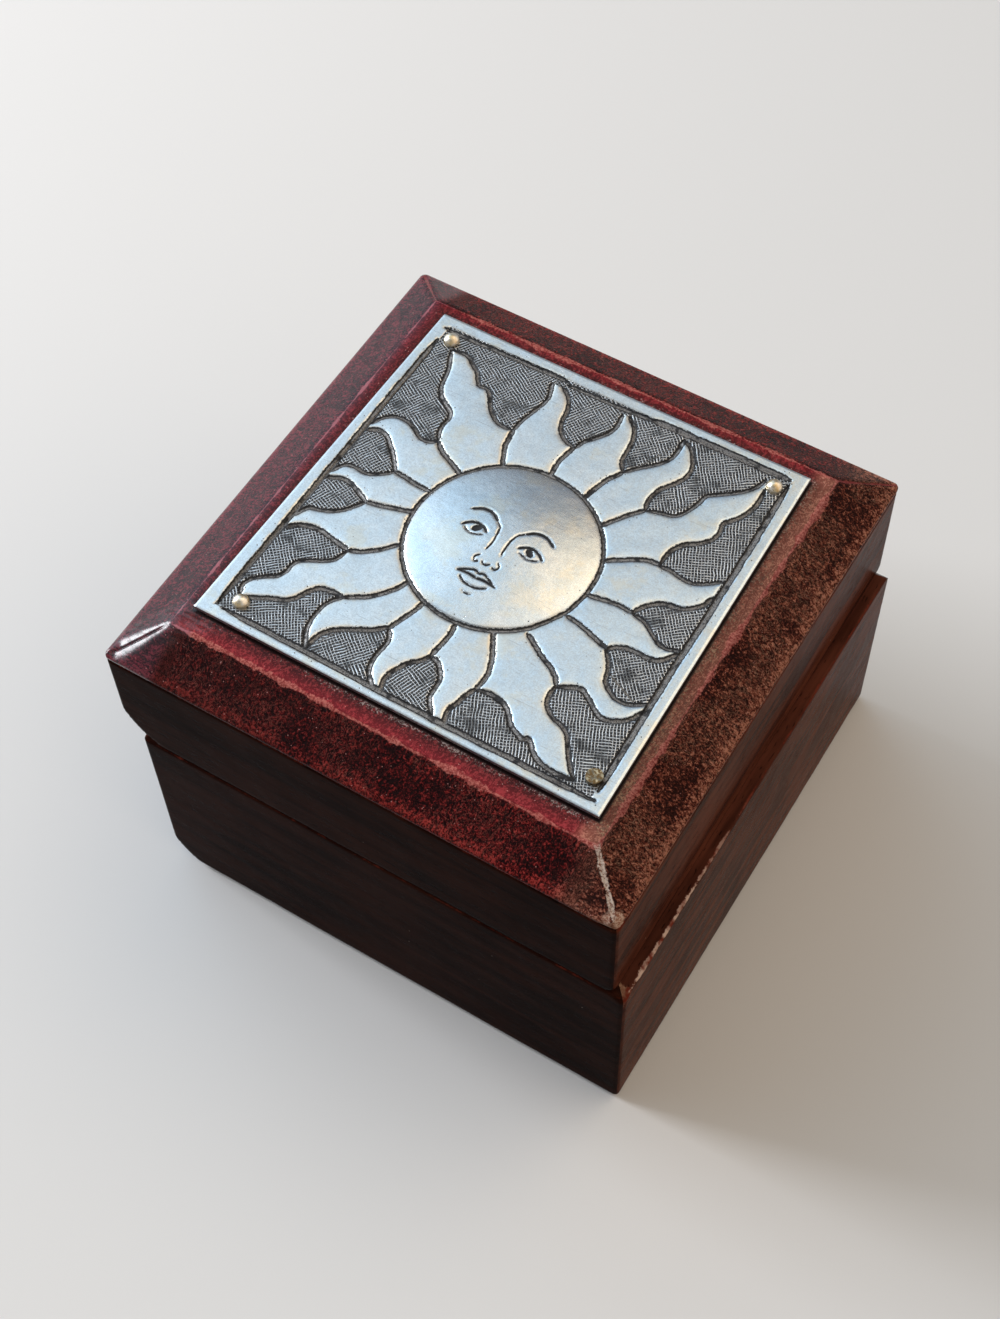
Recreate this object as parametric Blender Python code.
"""Small wooden trinket box with a hinged lid and an embossed sun plate.

The box stands on z = 0, its front faces -Y and its hinges are at +Y. The middle of its
outer size is at x = 0, y = 0. All lengths are in metres. Each piece is modelled where it
belongs in the closed box, then gets its origin at its own middle. The lid's pieces hang
from an empty on the hinge axis.
"""

import math

import bmesh
import bpy
from mathutils import Matrix, Vector

# Fits
TOUCH_GAP = 0.0003
HOLE_CLEARANCE = 0.0001
RUNNING_CLEARANCE = 0.00005
OVERRUN = 0.0010
MERGE_DISTANCE = 0.0000001

# Wooden frames of base and lid
BOX_DEPTH = 0.0645
LID_WIDTH = 0.0640
BASE_SHORTFALL = 0.0007
BASE_HEIGHT = 0.0280
LID_WALL_HEIGHT = 0.0149
LID_SHIFT = 0.00165
SEAM_GAP = 0.0003
WALL_THICKNESS = 0.0060
CORNER_RADIUS = 0.0012
FOOT_RADIUS = 0.0010
RIM_EASING = 0.0003
FLOOR_THICKNESS = 0.0030
FLOOR_REBATE = 0.0025
LINING_THICKNESS = 0.0010

# Bevelled panel on the lid
PANEL_EDGE = 0.0006
PANEL_CORNER_RADIUS = 0.0005
BEVEL_RISE = 0.0033
BEVEL_RUN = 0.0054
TONGUE_DEPTH = 0.0015

# Hinges
HINGE_LENGTH = 0.0120
HINGE_SPACING_SHARE = 0.537
HINGE_INSET = 0.0012
BARREL_DIAMETER = 0.0020
HINGE_PIN_DIAMETER = 0.0010
LEAF_THICKNESS = 0.0006
LEAF_MARGIN = 0.0006
STOP_ANGLE = math.radians(100)
KNUCKLES = 3

# Nails of the hinge leaves
NAIL_LENGTH = 0.0045
NAIL_HEAD_WIDTH_SHARE = 0.62
NAIL_HEAD_DEPTH_SHARE = 0.7
NAIL_SHANK_SHARE = 0.5
NAIL_TIP_SHARE = 0.22
NAIL_SPACING_SHARE = 0.58

# Metal plate, and the strips of the panel's flat that it leaves bare
STRIP_FRONT_AND_BACK = 0.00245
SIDE_STRIP_AT_FRONT = 0.00155
SIDE_STRIP_AT_BACK = 0.0026
PLATE_THICKNESS = 0.0006
PLATE_SHIFT_BACK = 0.0004
FRAME_LINE_INSET = 0.0017
FRAME_LINE_WIDTH = 0.0005
FRAME_LINE_DEPTH = 0.00025
FIELD_DEPTH = 0.00015

# Sun on the plate
SUN_DIAMETER = 0.0219
SUN_HEIGHT = 0.0011
SUN_LINE_WIDTH = 0.0004
SUN_LINE_DEPTH = 0.0002
SUN_PLACE_SHARES = (-0.024, -0.037)

# Tips of the rays as shares of the plate's half width and half depth, with how far each
# ray hooks as a share of its length. They run clockwise from the back left corner.
RAY_TIP_SHARES = [
    (-0.85, 0.82, 0.035),
    (-0.31, 0.90, 0.065),
    (0.08, 0.90, 0.080),
    (0.39, 0.90, 0.140),
    (0.84, 0.83, 0.035),
    (0.91, 0.24, 0.065),
    (0.93, -0.13, 0.050),
    (0.91, -0.50, 0.120),
    (0.81, -0.91, 0.035),
    (0.23, -0.94, 0.070),
    (-0.10, -0.94, 0.070),
    (-0.48, -0.92, 0.090),
    (-0.87, -0.83, 0.035),
    (-0.90, -0.40, 0.100),
    (-0.90, -0.07, 0.060),
    (-0.90, 0.30, 0.080),
]

# Forks where each ray parts from the next one clockwise, in the same shares.
RAY_FORK_SHARES = [
    (-0.33, 0.56),
    (-0.04, 0.61),
    (0.23, 0.60),
    (0.42, 0.47),
    (0.63, 0.24),
    (0.65, -0.06),
    (0.64, -0.26),
    (0.55, -0.53),
    (0.27, -0.73),
    (0.02, -0.69),
    (-0.20, -0.68),
    (-0.47, -0.63),
    (-0.59, -0.41),
    (-0.68, -0.14),
    (-0.66, 0.06),
    (-0.61, 0.32),
]

# Pins that hold the plate, places as shares of its half width and half depth
PIN_PLACE_SHARES = [
    ("plate_pin_back_left", -0.874, 0.870),
    ("plate_pin_back_right", 0.876, 0.870),
    ("plate_pin_front_left", -0.837, -0.880),
    ("plate_pin_front_right", 0.898, -0.852),
]
FILED_PIN = "plate_pin_front_right"
PIN_HEAD_DIAMETER = 0.0020
PIN_HEAD_HEIGHT = 0.0007
FILED_HEAD_HEIGHT = 0.0002
PIN_SHANK_DIAMETER = 0.0009
PIN_LENGTH = 0.0036
PIN_TIP = 0.0009

# Counts of facets
CORNER_STEPS = 4
EASING_STEPS = 2
FOOT_STEPS = 4
RAY_STEPS = 6
NAIL_SIDES = 14
BARREL_SIDES = 20
SUN_SIDES = 44
SUN_RINGS = 6
HEAD_RINGS = 4
SMOOTH_ANGLE = math.radians(30)

# Widths, heights and places worked out from the sizes above
BASE_WIDTH = LID_WIDTH - BASE_SHORTFALL
LEFT_MOST = min(-LID_WIDTH / 2, LID_SHIFT - BASE_WIDTH / 2)
RIGHT_MOST = max(LID_WIDTH / 2, LID_SHIFT + BASE_WIDTH / 2)
LID_X = -(LEFT_MOST + RIGHT_MOST) / 2
BASE_X = LID_X + LID_SHIFT
SEAM_Z = BASE_HEIGHT + SEAM_GAP / 2
LID_RIM_Z = BASE_HEIGHT + SEAM_GAP
LID_WALL_TOP_Z = LID_RIM_Z + LID_WALL_HEIGHT
PANEL_Z = LID_WALL_TOP_Z + TOUCH_GAP
BEVEL_Z = PANEL_Z + PANEL_EDGE
LID_TOP_Z = BEVEL_Z + BEVEL_RISE
PLATE_Z = LID_TOP_Z + TOUCH_GAP
PLATE_TOP_Z = PLATE_Z + PLATE_THICKNESS
PLATE_FRONT_WIDTH = LID_WIDTH - 2 * (BEVEL_RUN + SIDE_STRIP_AT_FRONT)
PLATE_BACK_WIDTH = LID_WIDTH - 2 * (BEVEL_RUN + SIDE_STRIP_AT_BACK)
PLATE_DEPTH = BOX_DEPTH - 2 * (BEVEL_RUN + STRIP_FRONT_AND_BACK)
AXIS_Y = BOX_DEPTH / 2 - HINGE_INSET
BARREL_RADIUS = BARREL_DIAMETER / 2
LEAF_BACK_Y = AXIS_Y - BARREL_RADIUS - TOUCH_GAP
LEAF_FRONT_Y = BOX_DEPTH / 2 - WALL_THICKNESS + LEAF_MARGIN
NAIL_HEAD_RADIUS = (LEAF_BACK_Y - LEAF_FRONT_Y) * NAIL_HEAD_WIDTH_SHARE / 2
NAIL_SHANK_RADIUS = NAIL_HEAD_RADIUS * NAIL_SHANK_SHARE
NAIL_HEAD_DEPTH = LEAF_THICKNESS * NAIL_HEAD_DEPTH_SHARE
HINGE_CENTRES = {
    "hinge_left": BASE_X - BASE_WIDTH * HINGE_SPACING_SHARE / 2,
    "hinge_right": BASE_X + BASE_WIDTH * HINGE_SPACING_SHARE / 2,
}


def clear_scene():
    """Remove every object the scene already has."""
    for thing in list(bpy.data.objects):
        bpy.data.objects.remove(thing, do_unlink=True)


def make_material(name, colour, roughness, metallic):
    """A Principled material with one colour."""
    material = bpy.data.materials.new(name)
    material.use_nodes = True
    shader = material.node_tree.nodes["Principled BSDF"]
    shader.inputs["Base Color"].default_value = (*colour, 1)
    shader.inputs["Roughness"].default_value = roughness
    shader.inputs["Metallic"].default_value = metallic
    return material


def new_object(name, bm):
    """Turn a bmesh into an object of the scene."""
    bmesh.ops.remove_doubles(bm, verts=bm.verts, dist=MERGE_DISTANCE)
    bmesh.ops.recalc_face_normals(bm, faces=bm.faces)
    mesh = bpy.data.meshes.new(name)
    bm.to_mesh(mesh)
    bm.free()
    piece = bpy.data.objects.new(name, mesh)
    bpy.context.scene.collection.objects.link(piece)
    return piece


def block(name, low, high):
    """A box between its lowest and its highest corner."""
    low = Vector(low)
    high = Vector(high)
    bm = bmesh.new()
    bmesh.ops.create_cube(bm, size=1)
    bmesh.ops.scale(bm, vec=high - low, verts=bm.verts)
    bmesh.ops.translate(bm, vec=(low + high) / 2, verts=bm.verts)
    return new_object(name, bm)


def prism(name, outline, low, high):
    """A flat outline in the XY plane, extruded from one height to another."""
    bm = bmesh.new()
    bottom = [bm.verts.new((x, y, low)) for x, y in outline]
    face = bm.faces.new(bottom)
    grown = bmesh.ops.extrude_face_region(bm, geom=[face])
    top = [item for item in grown["geom"] if isinstance(item, bmesh.types.BMVert)]
    bmesh.ops.translate(bm, vec=(0, 0, high - low), verts=top)
    return new_object(name, bm)


def prism_along_x(name, outline, low, high):
    """A flat outline of (y, z) points, extruded from one x to another."""
    shape = prism(name, outline, low, high)
    shape.data.transform(Matrix(((0, 0, 1, 0), (1, 0, 0, 0), (0, 1, 0, 0), (0, 0, 0, 1))))
    return shape


def rounded_rectangle(half_x, half_y, radius):
    """Points round a rectangle whose corners are arcs."""
    radius = max(radius, 0)
    points = []
    for quarter in range(4):
        side_x = (half_x - radius) * (1 if quarter in (0, 3) else -1)
        side_y = (half_y - radius) * (1 if quarter in (0, 1) else -1)
        for step in range(CORNER_STEPS + 1):
            angle = (quarter + step / CORNER_STEPS) * math.pi / 2
            points.append((side_x + radius * math.cos(angle), side_y + radius * math.sin(angle)))
    return points


def stack(name, centre_x, sections):
    """A closed solid through rounded rectangles (half x, half y, corner radius, height)."""
    bm = bmesh.new()
    loops = []
    for half_x, half_y, radius, height in sections:
        outline = rounded_rectangle(half_x, half_y, radius)
        loops.append([bm.verts.new((centre_x + x, y, height)) for x, y in outline])
    for lower, upper in zip(loops, loops[1:]):
        for k in range(len(lower)):
            after = (k + 1) % len(lower)
            bm.faces.new((lower[k], lower[after], upper[after], upper[k]))
    bm.faces.new(list(reversed(loops[0])))
    bm.faces.new(loops[-1])
    return new_object(name, bm)


def eased_sections(half_x, half_y, low, high, low_radius, high_radius, low_steps, high_steps):
    """Sections of an upright block whose lower and upper outer edges are rounded."""
    sections = []
    for step in range(low_steps + 1):
        angle = step / low_steps * math.pi / 2
        inset = low_radius * (1 - math.sin(angle))
        sections.append((inset, low + low_radius * (1 - math.cos(angle))))
    for step in range(high_steps + 1):
        angle = step / high_steps * math.pi / 2
        inset = high_radius * (1 - math.cos(angle))
        sections.append((inset, high - high_radius * (1 - math.sin(angle))))
    return [(half_x - inset, half_y - inset, CORNER_RADIUS - inset, z) for inset, z in sections]


def turned(name, profile, sides):
    """A profile of (radius, height) points, from axis to axis, spun round the Z axis."""
    bm = bmesh.new()
    verts = [bm.verts.new((radius, 0, height)) for radius, height in profile]
    edges = [bm.edges.new(pair) for pair in zip(verts, verts[1:])]
    bmesh.ops.spin(
        bm, geom=verts + edges, cent=(0, 0, 0), axis=(0, 0, 1),
        angle=math.tau, steps=sides, use_merge=True)
    return new_object(name, bm)


def rod_along_x(name, radius, centre_x, length, sides):
    """A round rod on the hinge axis."""
    profile = [(0, -length / 2), (radius, -length / 2), (radius, length / 2), (0, length / 2)]
    rod = turned(name, profile, sides)
    rod.data.transform(Matrix.Rotation(math.pi / 2, 4, "Y"))
    rod.data.transform(Matrix.Translation((centre_x, AXIS_Y, SEAM_Z)))
    return rod


def combine(piece, tool, operation):
    """Cut, join or trim a piece with another shape, which is then removed."""
    change = piece.modifiers.new(operation.title(), "BOOLEAN")
    change.operation = operation
    change.object = tool
    evaluated = piece.evaluated_get(bpy.context.evaluated_depsgraph_get())
    shaped = bpy.data.meshes.new_from_object(evaluated)
    piece.modifiers.clear()
    plain = piece.data
    piece.data = shaped
    bpy.data.meshes.remove(plain)
    bpy.data.objects.remove(tool, do_unlink=True)


def copy_of(piece, name):
    """A second object with its own mesh of the same shape."""
    twin = bpy.data.objects.new(name, piece.data.copy())
    bpy.context.scene.collection.objects.link(twin)
    return twin


def middle_of(piece):
    """Middle of a piece's bounding box."""
    corners = [Vector(corner) for corner in piece.bound_box]
    low = Vector(min(corner[axis] for corner in corners) for axis in range(3))
    high = Vector(max(corner[axis] for corner in corners) for axis in range(3))
    return (low + high) / 2


def hold(piece, carrier, material):
    """Move a piece's origin to its middle, hang it on its carrier and give it a material."""
    middle = middle_of(piece)
    piece.data.transform(Matrix.Translation(-middle))
    piece.parent = carrier
    piece.location = middle - carrier.location
    piece.data.materials.clear()
    piece.data.materials.append(material)
    piece.data.shade_smooth()
    piece.data.set_sharp_from_angle(angle=SMOOTH_ANGLE)


def mitre_wedge(name, centre_x, half_length, half_reach, quarter, low, high):
    """Room of one wall between its two mitres. Quarter 0 is the front, then anticlockwise."""
    setback = TOUCH_GAP / math.sqrt(2)
    outer_y = -half_reach - OVERRUN
    inner_y = -half_reach + WALL_THICKNESS + OVERRUN
    outer_x = half_length + OVERRUN - setback
    inner_x = half_length - WALL_THICKNESS - OVERRUN - setback
    outline = [(-outer_x, outer_y), (outer_x, outer_y), (inner_x, inner_y), (-inner_x, inner_y)]
    wedge = prism(name, outline, low - OVERRUN, high + OVERRUN)
    wedge.data.transform(Matrix.Rotation(quarter * math.pi / 2, 4, "Z"))
    wedge.data.transform(Matrix.Translation((centre_x, 0, 0)))
    return wedge


def split_into_walls(ring, body, centre_x, width, depth, low, high):
    """Cut a hollow frame into its front, right, back and left walls."""
    walls = []
    for quarter, side in enumerate(("front", "right", "back", "left")):
        lengthwise, across = (width, depth) if side in ("front", "back") else (depth, width)
        wall = copy_of(ring, f"{body}_{side}_wall")
        wedge = mitre_wedge("wedge", centre_x, lengthwise / 2, across / 2, quarter, low, high)
        combine(wall, wedge, "INTERSECT")
        walls.append(wall)
    bpy.data.objects.remove(ring, do_unlink=True)
    return walls


def cavity_cutter(name, centre_x, width, depth, wall, low, high):
    """The space inside walls of one thickness."""
    half_x = width / 2 - wall
    half_y = depth / 2 - wall
    return block(name, (centre_x - half_x, -half_y, low), (centre_x + half_x, half_y, high))


def back_chamfer_cutter(name, upward):
    """Slab that chamfers a back edge at the hinge axis. Upward is 1 for the base, -1 for the lid."""
    slope = STOP_ANGLE / 2
    along = Vector((math.cos(slope), -math.sin(slope)))
    away = Vector((math.sin(slope), math.cos(slope)))
    start = away * (-SEAM_GAP / 2)
    corners = [
        start - along * OVERRUN,
        start + along * WALL_THICKNESS,
        start + along * WALL_THICKNESS + away * WALL_THICKNESS,
        start - along * OVERRUN + away * WALL_THICKNESS,
    ]
    outline = [(AXIS_Y + y, SEAM_Z + upward * z) for y, z in corners]
    return prism_along_x(name, outline, -LID_WIDTH, LID_WIDTH)


def nail_profile(growth):
    """Countersunk nail, its head's top at height zero, with extra room all round."""
    shank = NAIL_SHANK_RADIUS + growth
    head = NAIL_HEAD_RADIUS + growth
    return [
        (0, -NAIL_LENGTH - growth),
        (shank, -NAIL_LENGTH * (1 - NAIL_TIP_SHARE) - growth),
        (shank, -NAIL_HEAD_DEPTH),
        (head, 0),
        (head, growth),
        (0, growth),
    ]


def hinge_nail(name, x, upward, growth):
    """A nail of a leaf, or the hole for it. Upward is 1 for the base, -1 for the lid."""
    nail = turned(name, nail_profile(growth), NAIL_SIDES)
    if upward < 0:
        nail.data.transform(Matrix.Rotation(math.pi, 4, "X"))
    leaf_middle_y = (LEAF_FRONT_Y + LEAF_BACK_Y) / 2
    nail.data.transform(Matrix.Translation((x, leaf_middle_y, SEAM_Z - upward * SEAM_GAP / 2)))
    return nail


def nail_places(centre_x):
    """Where along X the nails of one leaf stand."""
    offset = HINGE_LENGTH * NAIL_SPACING_SHARE / 2
    return (centre_x - offset, centre_x + offset)


def cut_hinge_seats(ring, upward):
    """Let the barrels, the leaves and the nails into a rim."""
    combine(ring, back_chamfer_cutter("chamfer", upward), "DIFFERENCE")
    for centre_x in HINGE_CENTRES.values():
        room = HINGE_LENGTH + 2 * TOUCH_GAP
        channel = rod_along_x("channel", BARREL_RADIUS + TOUCH_GAP, centre_x, room, BARREL_SIDES)
        combine(ring, channel, "DIFFERENCE")
        deep = SEAM_Z - upward * (SEAM_GAP / 2 + LEAF_THICKNESS + TOUCH_GAP)
        shallow = SEAM_Z + upward * OVERRUN
        low = (centre_x - room / 2, LEAF_FRONT_Y - TOUCH_GAP, min(deep, shallow))
        high = (centre_x + room / 2, AXIS_Y, max(deep, shallow))
        combine(ring, block("leaf_seat", low, high), "DIFFERENCE")
        for x in nail_places(centre_x):
            combine(ring, hinge_nail("pilot_hole", x, upward, HOLE_CLEARANCE), "DIFFERENCE")


def make_base_walls():
    """Four mitred walls with a rebate for the floor and seats for the hinges."""
    half_x = BASE_WIDTH / 2
    half_y = BOX_DEPTH / 2
    sections = eased_sections(
        half_x, half_y, 0, BASE_HEIGHT, FOOT_RADIUS, RIM_EASING, FOOT_STEPS, EASING_STEPS)
    ring = stack("base_ring", BASE_X, sections)
    cavity = cavity_cutter(
        "cavity", BASE_X, BASE_WIDTH, BOX_DEPTH, WALL_THICKNESS, -OVERRUN, BASE_HEIGHT + OVERRUN)
    combine(ring, cavity, "DIFFERENCE")
    thin_wall = WALL_THICKNESS - FLOOR_REBATE
    rebate = cavity_cutter(
        "rebate", BASE_X, BASE_WIDTH, BOX_DEPTH, thin_wall, -OVERRUN, FLOOR_THICKNESS + TOUCH_GAP)
    combine(ring, rebate, "DIFFERENCE")
    cut_hinge_seats(ring, 1)
    return split_into_walls(ring, "base", BASE_X, BASE_WIDTH, BOX_DEPTH, 0, BASE_HEIGHT)


def make_base_floor():
    """Flat panel in the rebate under the walls, level with them."""
    edge = WALL_THICKNESS - FLOOR_REBATE + TOUCH_GAP
    return cavity_cutter("base_floor", BASE_X, BASE_WIDTH, BOX_DEPTH, edge, 0, FLOOR_THICKNESS)


def make_base_lining():
    """Felt sheet on the floor."""
    low = FLOOR_THICKNESS + TOUCH_GAP
    edge = WALL_THICKNESS + TOUCH_GAP
    return cavity_cutter(
        "base_lining", BASE_X, BASE_WIDTH, BOX_DEPTH, edge, low, low + LINING_THICKNESS)


def make_lid_walls():
    """Four mitred walls with seats for the hinges."""
    sections = eased_sections(
        LID_WIDTH / 2, BOX_DEPTH / 2, LID_RIM_Z, LID_WALL_TOP_Z,
        RIM_EASING, RIM_EASING, EASING_STEPS, EASING_STEPS)
    ring = stack("lid_ring", LID_X, sections)
    cavity = cavity_cutter(
        "cavity", LID_X, LID_WIDTH, BOX_DEPTH, WALL_THICKNESS,
        LID_RIM_Z - OVERRUN, LID_WALL_TOP_Z + OVERRUN)
    combine(ring, cavity, "DIFFERENCE")
    cut_hinge_seats(ring, -1)
    return split_into_walls(ring, "lid", LID_X, LID_WIDTH, BOX_DEPTH, LID_RIM_Z, LID_WALL_TOP_Z)


def make_lid_top_panel():
    """Bevelled panel on the walls, with a tongue that drops between them."""
    half_x = LID_WIDTH / 2
    half_y = BOX_DEPTH / 2
    tongue_x = half_x - WALL_THICKNESS - TOUCH_GAP
    tongue_y = half_y - WALL_THICKNESS - TOUCH_GAP
    panel = stack("lid_top_panel", LID_X, [
        (tongue_x, tongue_y, PANEL_CORNER_RADIUS, PANEL_Z - TONGUE_DEPTH),
        (tongue_x, tongue_y, PANEL_CORNER_RADIUS, PANEL_Z),
        (half_x, half_y, CORNER_RADIUS, PANEL_Z),
        (half_x, half_y, CORNER_RADIUS, BEVEL_Z),
        (half_x - BEVEL_RUN, half_y - BEVEL_RUN, PANEL_CORNER_RADIUS, LID_TOP_Z),
    ])
    for name, share_x, share_y in PIN_PLACE_SHARES:
        combine(panel, plate_pin(name, share_x, share_y, HOLE_CLEARANCE), "DIFFERENCE")
    return panel


def make_lid_lining():
    """Felt sheet under the panel's tongue."""
    high = PANEL_Z - TONGUE_DEPTH - TOUCH_GAP
    edge = WALL_THICKNESS + TOUCH_GAP
    return cavity_cutter(
        "lid_lining", LID_X, LID_WIDTH, BOX_DEPTH, edge, high - LINING_THICKNESS, high)


def on_plate(share_x, share_y):
    """A place on the plate from shares of its half width there and its half depth."""
    middle_width = (PLATE_FRONT_WIDTH + PLATE_BACK_WIDTH) / 2
    taper = (PLATE_FRONT_WIDTH - PLATE_BACK_WIDTH) / 2
    half_width = (middle_width - share_y * taper) / 2
    return Vector((LID_X + share_x * half_width, PLATE_SHIFT_BACK + share_y * PLATE_DEPTH / 2))


def plate_outline(inset):
    """The plate's four corners, drawn in by an inset."""
    corners = []
    for share_x, share_y in ((-1, -1), (1, -1), (1, 1), (-1, 1)):
        corner = on_plate(share_x, share_y)
        corners.append((corner.x - share_x * inset, corner.y - share_y * inset))
    return corners


def ray_edge(fork, tip, hook, wavy, leading):
    """Points from a fork to a ray's tip. The edge swings clockwise of the straight line by a wave."""
    run = tip - fork
    clockwise = Vector((run.y, -run.x))
    points = []
    for step in range(RAY_STEPS):
        t = step / RAY_STEPS
        swell = math.sin(math.pi * t)
        if wavy:
            ripple = math.sin(4 * math.pi * t)
            swing = swell + ripple if leading else -ripple
        else:
            swing = swell if leading else swell / 2 - math.sin(2 * math.pi * t)
        points.append(fork + run * t + clockwise * hook * swing)
    return points


def sun_outline():
    """Outline of all rays, clockwise from the fork before the back left ray."""
    points = []
    for index, (share_x, share_y, hook) in enumerate(RAY_TIP_SHARES):
        tip = on_plate(share_x, share_y)
        wavy = index % 4 == 0
        before = on_plate(*RAY_FORK_SHARES[index - 1])
        after = on_plate(*RAY_FORK_SHARES[index])
        points.extend(ray_edge(before, tip, hook, wavy, True))
        points.append(tip)
        points.extend(reversed(ray_edge(after, tip, hook, wavy, False)[1:]))
    return points


def dome_profile(radius, base_z, height):
    """Half section of the domed disc, from its rim to its crown."""
    points = []
    for ring in range(SUN_RINGS + 1):
        share = 1 - ring / SUN_RINGS
        points.append((radius * share, base_z + height * (1 - share * share)))
    return points


def make_sun_plate():
    """Thin sheet with sunken fields round the rays, an embossed disc and four pin holes."""
    plate = prism("sun_plate", plate_outline(0), PLATE_Z, PLATE_TOP_Z)
    above = PLATE_TOP_Z + OVERRUN
    half_line = FRAME_LINE_WIDTH / 2
    field = prism("field", plate_outline(FRAME_LINE_INSET), PLATE_TOP_Z - FIELD_DEPTH, above)
    rays = prism("rays", sun_outline(), PLATE_Z, above + OVERRUN)
    combine(field, rays, "DIFFERENCE")
    combine(plate, field, "DIFFERENCE")

    line = prism(
        "frame_line", plate_outline(FRAME_LINE_INSET - half_line),
        PLATE_TOP_Z - FRAME_LINE_DEPTH, above)
    island = prism(
        "island", plate_outline(FRAME_LINE_INSET + half_line), PLATE_Z, above + OVERRUN)
    combine(line, island, "DIFFERENCE")
    combine(plate, line, "DIFFERENCE")

    place = on_plate(*SUN_PLACE_SHARES)
    radius = SUN_DIAMETER / 2
    sheet_middle = (PLATE_Z + PLATE_TOP_Z) / 2
    recess_radius = radius + SUN_LINE_WIDTH
    recess_z = PLATE_TOP_Z - SUN_LINE_DEPTH
    recess = turned(
        "recess", [(0, recess_z), (recess_radius, recess_z), (recess_radius, above), (0, above)],
        SUN_SIDES)
    dome = turned(
        "dome", [(0, sheet_middle), (radius, sheet_middle)]
        + dome_profile(radius, PLATE_TOP_Z, SUN_HEIGHT), SUN_SIDES)
    hollow_radius = radius - PLATE_THICKNESS
    hollow = turned(
        "hollow", [(0, PLATE_Z - OVERRUN), (hollow_radius, PLATE_Z - OVERRUN)]
        + dome_profile(hollow_radius, PLATE_Z, SUN_HEIGHT), SUN_SIDES)
    for shape in (recess, dome, hollow):
        shape.data.transform(Matrix.Translation((place.x, place.y, 0)))
    combine(plate, recess, "DIFFERENCE")
    combine(plate, dome, "UNION")
    combine(plate, hollow, "DIFFERENCE")

    for name, share_x, share_y in PIN_PLACE_SHARES:
        combine(plate, plate_pin(name, share_x, share_y, HOLE_CLEARANCE), "DIFFERENCE")
    return plate


def plate_pin(name, share_x, share_y, growth):
    """A pin through the plate into the panel, or with some growth the hole for it."""
    head_z = PLATE_TOP_Z - FIELD_DEPTH + TOUCH_GAP
    shank = PIN_SHANK_DIAMETER / 2 + growth
    low = head_z - PIN_LENGTH - growth
    profile = [(0, low), (shank, low + PIN_TIP)]
    if growth > 0:
        profile += [(shank, PLATE_TOP_Z + OVERRUN), (0, PLATE_TOP_Z + OVERRUN)]
    else:
        height = FILED_HEAD_HEIGHT if name == FILED_PIN else PIN_HEAD_HEIGHT
        profile.append((shank, head_z))
        for ring in range(HEAD_RINGS):
            angle = ring / HEAD_RINGS * math.pi / 2
            profile.append((PIN_HEAD_DIAMETER / 2 * math.cos(angle), head_z + height * math.sin(angle)))
        profile.append((0, head_z + height))
    pin = turned(name, profile, NAIL_SIDES)
    place = on_plate(share_x, share_y)
    pin.data.transform(Matrix.Translation((place.x, place.y, 0)))
    return pin


def leaf_outline(upward):
    """Section (y, z) through a leaf and its barrel. Upward is 1 for the base leaf, -1 for the lid leaf."""
    near = SEAM_GAP / 2
    far = near + LEAF_THICKNESS
    first = math.pi + math.asin(near / BARREL_RADIUS)
    last = math.asin(far / BARREL_RADIUS) - math.pi
    points = [(LEAF_FRONT_Y, -far), (LEAF_FRONT_Y, -near)]
    for step in range(BARREL_SIDES + 1):
        angle = first + (last - first) * step / BARREL_SIDES
        points.append((AXIS_Y + BARREL_RADIUS * math.cos(angle), BARREL_RADIUS * math.sin(angle)))
    return [(y, SEAM_Z + upward * z) for y, z in points]


def knuckle_room(name, centre_x, index):
    """Block that clears the barrel where the other leaf has its knuckle."""
    pitch = HINGE_LENGTH / KNUCKLES
    low_x = centre_x - HINGE_LENGTH / 2 + index * pitch
    high_x = low_x + pitch
    low_x -= OVERRUN if index == 0 else TOUCH_GAP / 2
    high_x += OVERRUN if index == KNUCKLES - 1 else TOUCH_GAP / 2
    reach = BARREL_RADIUS + OVERRUN
    return block(
        name, (low_x, LEAF_BACK_Y, SEAM_Z - reach), (high_x, AXIS_Y + reach, SEAM_Z + reach))


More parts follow.
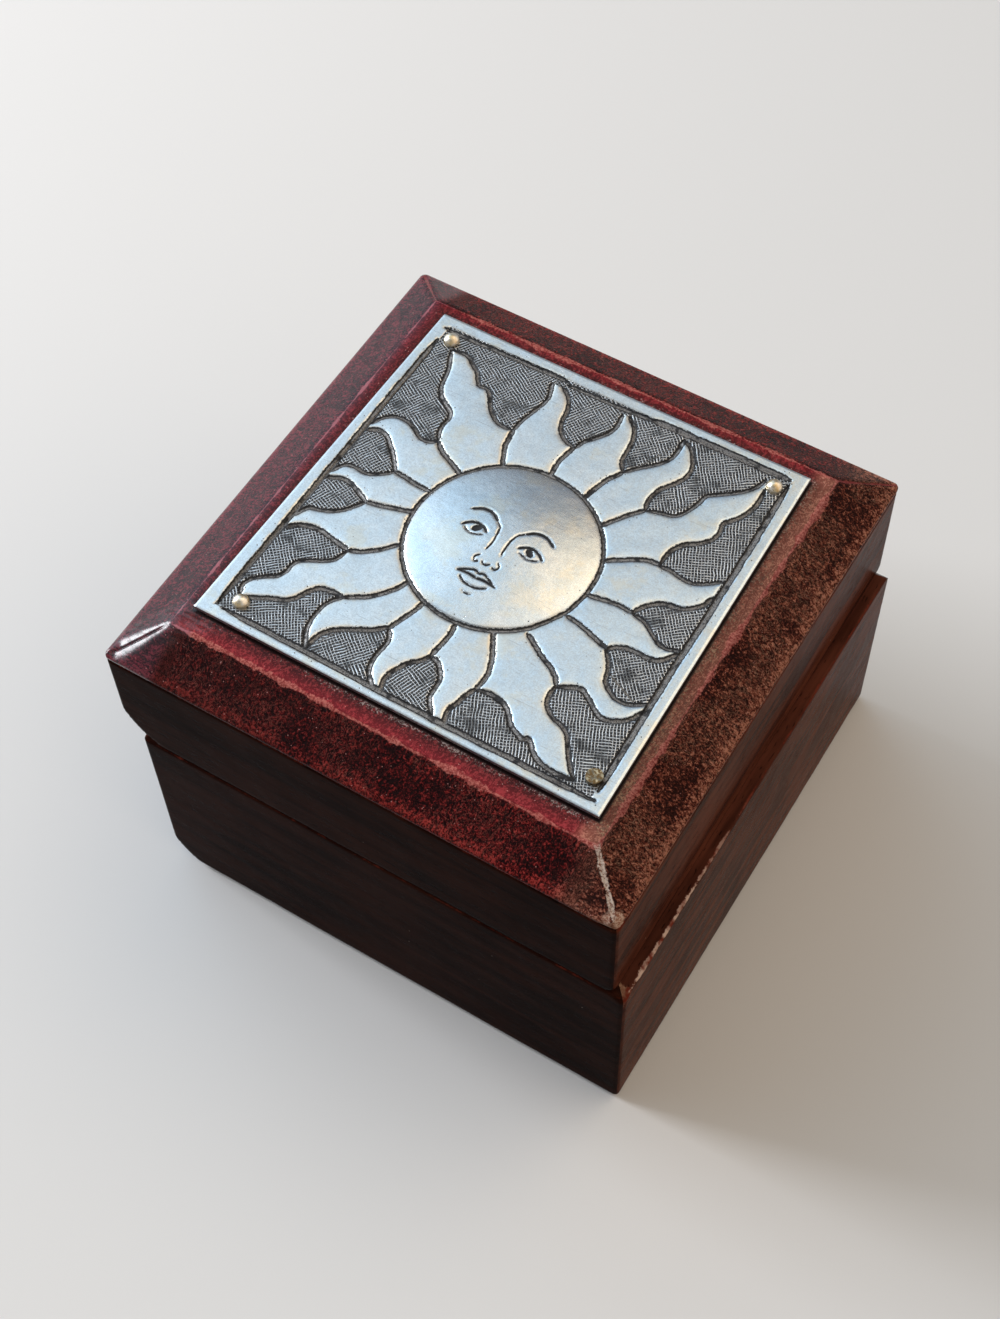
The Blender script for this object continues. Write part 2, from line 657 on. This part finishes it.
def make_leaf(name, centre_x, upward):
    """A hinge leaf with its knuckles. Upward is 1 for the base leaf, -1 for the lid leaf."""
    half = HINGE_LENGTH / 2
    leaf = prism_along_x(name, leaf_outline(upward), centre_x - half, centre_x + half)
    other_knuckles = range(1, KNUCKLES, 2) if upward > 0 else range(0, KNUCKLES, 2)
    for index in other_knuckles:
        combine(leaf, knuckle_room("room", centre_x, index), "DIFFERENCE")
    bore_radius = HINGE_PIN_DIAMETER / 2 + RUNNING_CLEARANCE
    bore = rod_along_x("bore", bore_radius, centre_x, HINGE_LENGTH + 2 * OVERRUN, BARREL_SIDES)
    combine(leaf, bore, "DIFFERENCE")
    for x in nail_places(centre_x):
        combine(leaf, hinge_nail("nail_hole", x, upward, HOLE_CLEARANCE), "DIFFERENCE")
    return leaf


def build():
    """Make every piece of the box and hang it on its body."""
    clear_scene()
    side_wood = make_material("side_wood", (0.095, 0.040, 0.027), 0.42, 0)
    panel_wood = make_material("panel_wood", (0.130, 0.022, 0.022), 0.50, 0)
    aluminium = make_material("aluminium", (0.80, 0.83, 0.87), 0.30, 1)
    brass = make_material("brass", (0.78, 0.58, 0.28), 0.32, 1)
    felt = make_material("felt", (0.110, 0.010, 0.014), 0.95, 0)

    base = bpy.data.objects.new("base", None)
    bpy.context.scene.collection.objects.link(base)
    lid = bpy.data.objects.new("lid", None)
    lid.location = (0, AXIS_Y, SEAM_Z)
    bpy.context.scene.collection.objects.link(lid)

    for wall in make_base_walls():
        hold(wall, base, side_wood)
    hold(make_base_floor(), base, side_wood)
    hold(make_base_lining(), base, felt)

    for wall in make_lid_walls():
        hold(wall, lid, side_wood)
    hold(make_lid_top_panel(), lid, panel_wood)
    hold(make_lid_lining(), lid, felt)
    hold(make_sun_plate(), lid, aluminium)
    for name, share_x, share_y in PIN_PLACE_SHARES:
        hold(plate_pin(name, share_x, share_y, 0), lid, brass)

    for name, centre_x in HINGE_CENTRES.items():
        hold(make_leaf(f"{name}_base_leaf", centre_x, 1), base, brass)
        hold(make_leaf(f"{name}_lid_leaf", centre_x, -1), lid, brass)
        pin = rod_along_x(
            f"{name}_pin", HINGE_PIN_DIAMETER / 2, centre_x, HINGE_LENGTH, BARREL_SIDES)
        hold(pin, base, brass)
        for side, x in zip(("left", "right"), nail_places(centre_x)):
            hold(hinge_nail(f"{name}_base_nail_{side}", x, 1, 0), base, brass)
            hold(hinge_nail(f"{name}_lid_nail_{side}", x, -1, 0), lid, brass)


build()
